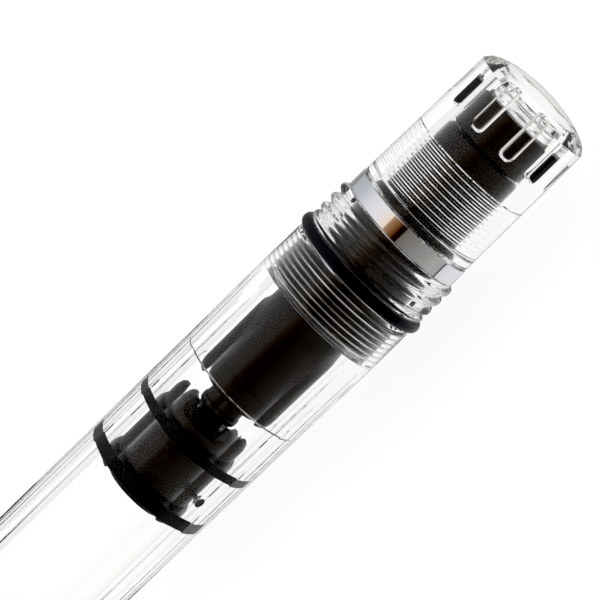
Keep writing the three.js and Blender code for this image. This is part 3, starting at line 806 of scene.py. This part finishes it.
def dim_share(tree, ray, sign):
    """How far a ray sees the dim side of the studio; ray times sign is its direction.

    1 for a reflection off an outside surface or off a piece behind two walls, 0.45 for
    any other reflection that heads back to the camera, 0 for the rest.
    """
    path = add(tree, "LightPath")
    toward = add(tree, "VectorMath", {0: ray, 1: tuple(c * sign for c in TO_CAMERA)},
                 operation="DOT_PRODUCT").outputs["Value"]
    depth = path.outputs["Transmission Depth"]
    glossy = add_math(tree, "GREATER_THAN", path.outputs["Glossy Depth"], 0.5)
    outside = add_math(tree, "LESS_THAN", depth, 0.5)
    over_three = add_math(tree, "GREATER_THAN", depth, 3.5)
    under_five = add_math(tree, "LESS_THAN", depth, 4.5)
    back = add_math(tree, "GREATER_THAN", toward, 0.30)
    back = add_math(tree, "MULTIPLY", back, 0.45)
    two_walls = add_math(tree, "MULTIPLY", over_three, under_five)
    full = add_math(tree, "MAXIMUM", outside, two_walls)
    return add_math(tree, "MULTIPLY", glossy, add_math(tree, "MAXIMUM", back, full))


def floor_material():
    """Pale floor that glows to wash out the pen's shadow, and shows a painted dim reflection
    colour where the pen mirrors it.
    """
    material = bpy.data.materials.new("pale_floor")
    tree = emptied(material)
    pale = add(tree, "BsdfPrincipled", {
        "Base Color": (0.07, 0.07, 0.07, 1),
        "Roughness": 0.9,
        "Specular IOR Level": 0.0,
        # the floor's glow stands in for light and washes out the pen's shadow
        "Emission Color": (0.985, 0.99, 1.0, 1),
        "Emission Strength": 0.94,
    })
    # painted reflection: a dim floor colour set by the view angle, with a painted shade line
    # under the pen
    incoming = add(tree, "NewGeometry").outputs["Incoming"]
    sine = add(tree, "SeparateXYZ", {"Vector": incoming}).outputs["Z"]
    dim = add(tree, "Emission", {"Color": add_ramp(tree, sine, FLOOR_REFLECTION_PAINT_STOPS)})
    # where the painted reflection colour replaces the glowing floor
    share = dim_share(tree, incoming, -1.0)
    mix = add(tree, "MixShader", {"Fac": share, 1: pale, 2: dim})
    add(tree, "OutputMaterial", {"Surface": mix})
    return material


def build_floor():
    half = FLOOR_SIZE / 2
    corners = [(x, y, FLOOR_Z)
               for x, y in ((-half, -half), (half, -half), (half, half), (-half, half))]
    mesh = bpy.data.meshes.new("floor")
    mesh.from_pydata(corners, [], [(0, 1, 2, 3)])
    ob = bpy.data.objects.new("floor", mesh)
    scene.collection.objects.link(ob)
    mesh.materials.append(floor_material())


def build_world():
    """A white tent with a dark brown gap on the camera's side."""
    white = (1.0, 1.0, 1.0, 1)
    world = bpy.data.worlds.new("studio")
    scene.world = world
    tree = emptied(world)
    world.cycles.sampling_method = "NONE"
    direction = add(tree, "TexCoord").outputs["Generated"]
    parts = add(tree, "SeparateXYZ", {"Vector": direction})
    nearward = add_math(tree, "MULTIPLY", parts.outputs["Y"], -1.0)
    angle = add_math(tree, "ARCTAN2", parts.outputs["Z"], nearward)
    share = add(tree, "MapRange", {"Value": angle, "From Min": 0.0, "From Max": math.pi})
    tent = add_ramp(tree, share, [(degrees / 180.0, color) for degrees, color in TENT_STOPS])
    soft = add_blend(tree, 0.28, white, tent)
    on_camera = add(tree, "LightPath").outputs["Is Camera Ray"]
    bright = add_blend(tree, on_camera, soft, white)
    seen = add_blend(tree, dim_share(tree, direction, 1.0), bright, tent)
    background = add(tree, "Background", {"Color": seen, "Strength": 1.0})
    add(tree, "OutputWorld", {"Surface": background})


def build_softbox():
    """Square light behind and above the pen, left out of mirror and clear sight."""
    place, target = Vector((0.25, 0.55, 0.75)), Vector((0.085, 0, 0))
    light = bpy.data.lights.new("key_softbox", "AREA")
    light.energy = 9.0
    light.shape = "SQUARE"
    light.size = 0.9
    ob = bpy.data.objects.new("key_softbox", light)
    ob.location = place
    ob.rotation_euler = (target - place).to_track_quat("-Z", "Y").to_euler()
    ob.visible_glossy = False
    ob.visible_transmission = False
    scene.collection.objects.link(ob)


build_floor()
build_world()
build_softbox()

# ------------------------------------------------------------------ camera
ROLL = math.radians(44.1)
LENS = 200.0
SENSOR = 36.0
VIEW_WIDTH = 48.780488               # width of the view at the pen, mm
AIM_X = SEAT - 5.2                   # station the camera aims at, mm
AIM_RAISE = 1.829268                 # aim above the pen's axis in the unrolled view, mm


def build_camera():
    distance = VIEW_WIDTH * MM * LENS / SENSOR
    x_axis = Vector((1, 0, 0))
    # across runs along the pen in the image plane
    across = (x_axis - TO_CAMERA * TO_CAMERA.dot(x_axis)).normalized()
    up = TO_CAMERA.cross(across).normalized()
    aim = Vector((AIM_X * MM, 0, 0)) + up * (AIM_RAISE * MM)
    rolled_across = across * math.cos(ROLL) - up * math.sin(ROLL)
    rolled_up = across * math.sin(ROLL) + up * math.cos(ROLL)

    lens = bpy.data.cameras.new("camera")
    lens.lens = LENS
    lens.sensor_width = SENSOR
    lens.clip_start = 0.01
    lens.clip_end = 20.0
    camera = bpy.data.objects.new("camera", lens)
    scene.collection.objects.link(camera)
    rows = [(rolled_across[i], rolled_up[i], TO_CAMERA[i], aim[i] + TO_CAMERA[i] * distance)
            for i in range(3)]
    camera.matrix_world = Matrix((*rows, (0, 0, 0, 1)))
    scene.camera = camera


build_camera()

# ------------------------------------------------------------------ render settings
# enough bounces to see through the nested clear walls
cycles = scene.cycles
cycles.max_bounces = 32
cycles.transmission_bounces = 28
cycles.glossy_bounces = 12
cycles.transparent_max_bounces = 24
cycles.diffuse_bounces = 3
cycles.caustics_refractive = True
cycles.caustics_reflective = False
view = scene.view_settings
view.view_transform = "Standard"
view.use_curve_mapping = True
view.curve_mapping.black_level = (0.009, 0.009, 0.009)
view.curve_mapping.update()
